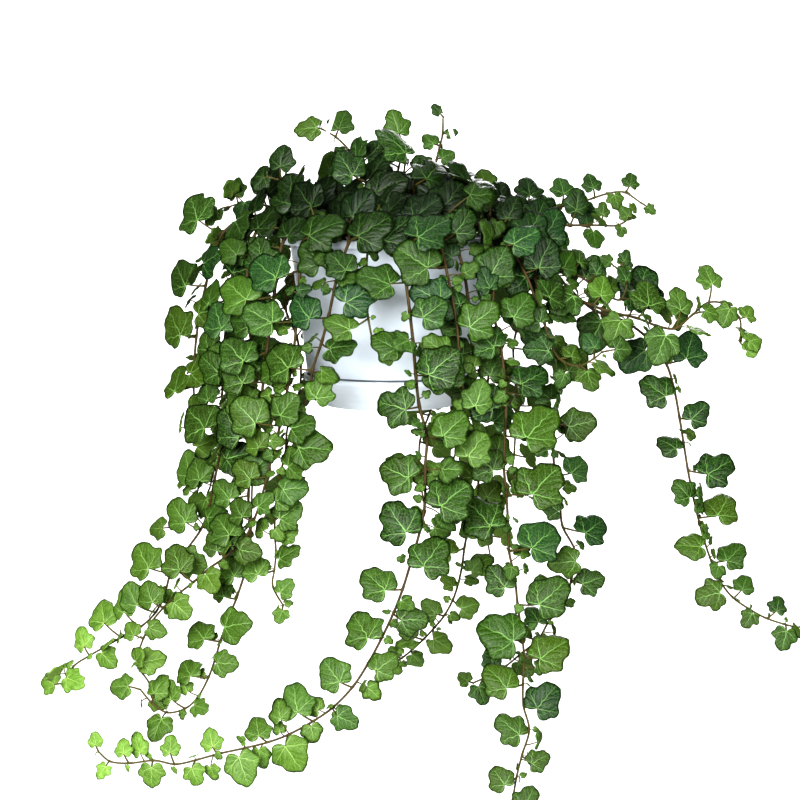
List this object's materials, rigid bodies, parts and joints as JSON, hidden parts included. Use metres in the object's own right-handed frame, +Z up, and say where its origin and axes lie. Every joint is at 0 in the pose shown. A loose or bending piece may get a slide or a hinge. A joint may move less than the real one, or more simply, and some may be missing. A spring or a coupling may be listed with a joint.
{
  "type": "potted english ivy",
  "caption": "trailing English ivy in a white hanging pot with a clip-on saucer, hung from a hook on flat straps, with leafy vines that arch over the rim and trail below",
  "frame": {"origin": "the inner top of the hook, where it bears on what it hangs from, on the pot's axis", "axes": "+Z up along the pot's axis, -Y towards the viewer of the picture, +X to the viewer's right"},
  "size_m": [0.7535, 0.3533, 0.8951],
  "materials": {
    "white_plastic": "smooth moulded polypropylene, satin",
    "hanger_plastic": "smooth moulded polypropylene, satin",
    "potting_soil": null,
    "ivy": null
  },
  "bodies": {
    "root": {"hook": "hanger_plastic", "pot": "white_plastic", "saucer": "white_plastic", "shoot_left_low": "ivy", "shoot_left_upper": "ivy", "shoot_right_curled": "ivy", "shoot_right_low": "ivy", "shoot_right_middle": "ivy", "shoot_right_upper": "ivy", "shoot_top_back": "ivy", "shoot_top_left": "ivy", "shoot_top_right": "ivy", "soil": "potting_soil", "strap_1": "hanger_plastic", "strap_2": "hanger_plastic", "strap_3": "hanger_plastic", "tuft_1": "ivy", "tuft_10": "ivy", "tuft_2": "ivy", "tuft_3": "ivy", "tuft_4": "ivy", "tuft_5": "ivy", "tuft_6": "ivy", "tuft_7": "ivy", "tuft_8": "ivy", "tuft_9": "ivy", "vine_back_108": "ivy", "vine_back_134": "ivy", "vine_back_166": "ivy", "vine_back_26": "ivy", "vine_back_50": "ivy", "vine_back_74": "ivy", "vine_front_pot": "ivy", "vine_front_right": "ivy", "vine_front_short": "ivy", "vine_front_slender": "ivy", "vine_front_trailing": "ivy", "vine_left_crossing": "ivy", "vine_left_curled": "ivy", "vine_left_front": "ivy", "vine_left_long": "ivy", "vine_left_middle": "ivy", "vine_left_outer": "ivy", "vine_right_far": "ivy", "vine_right_kinked": "ivy", "vine_right_raised": "ivy"}
  },
  "joints": []
}
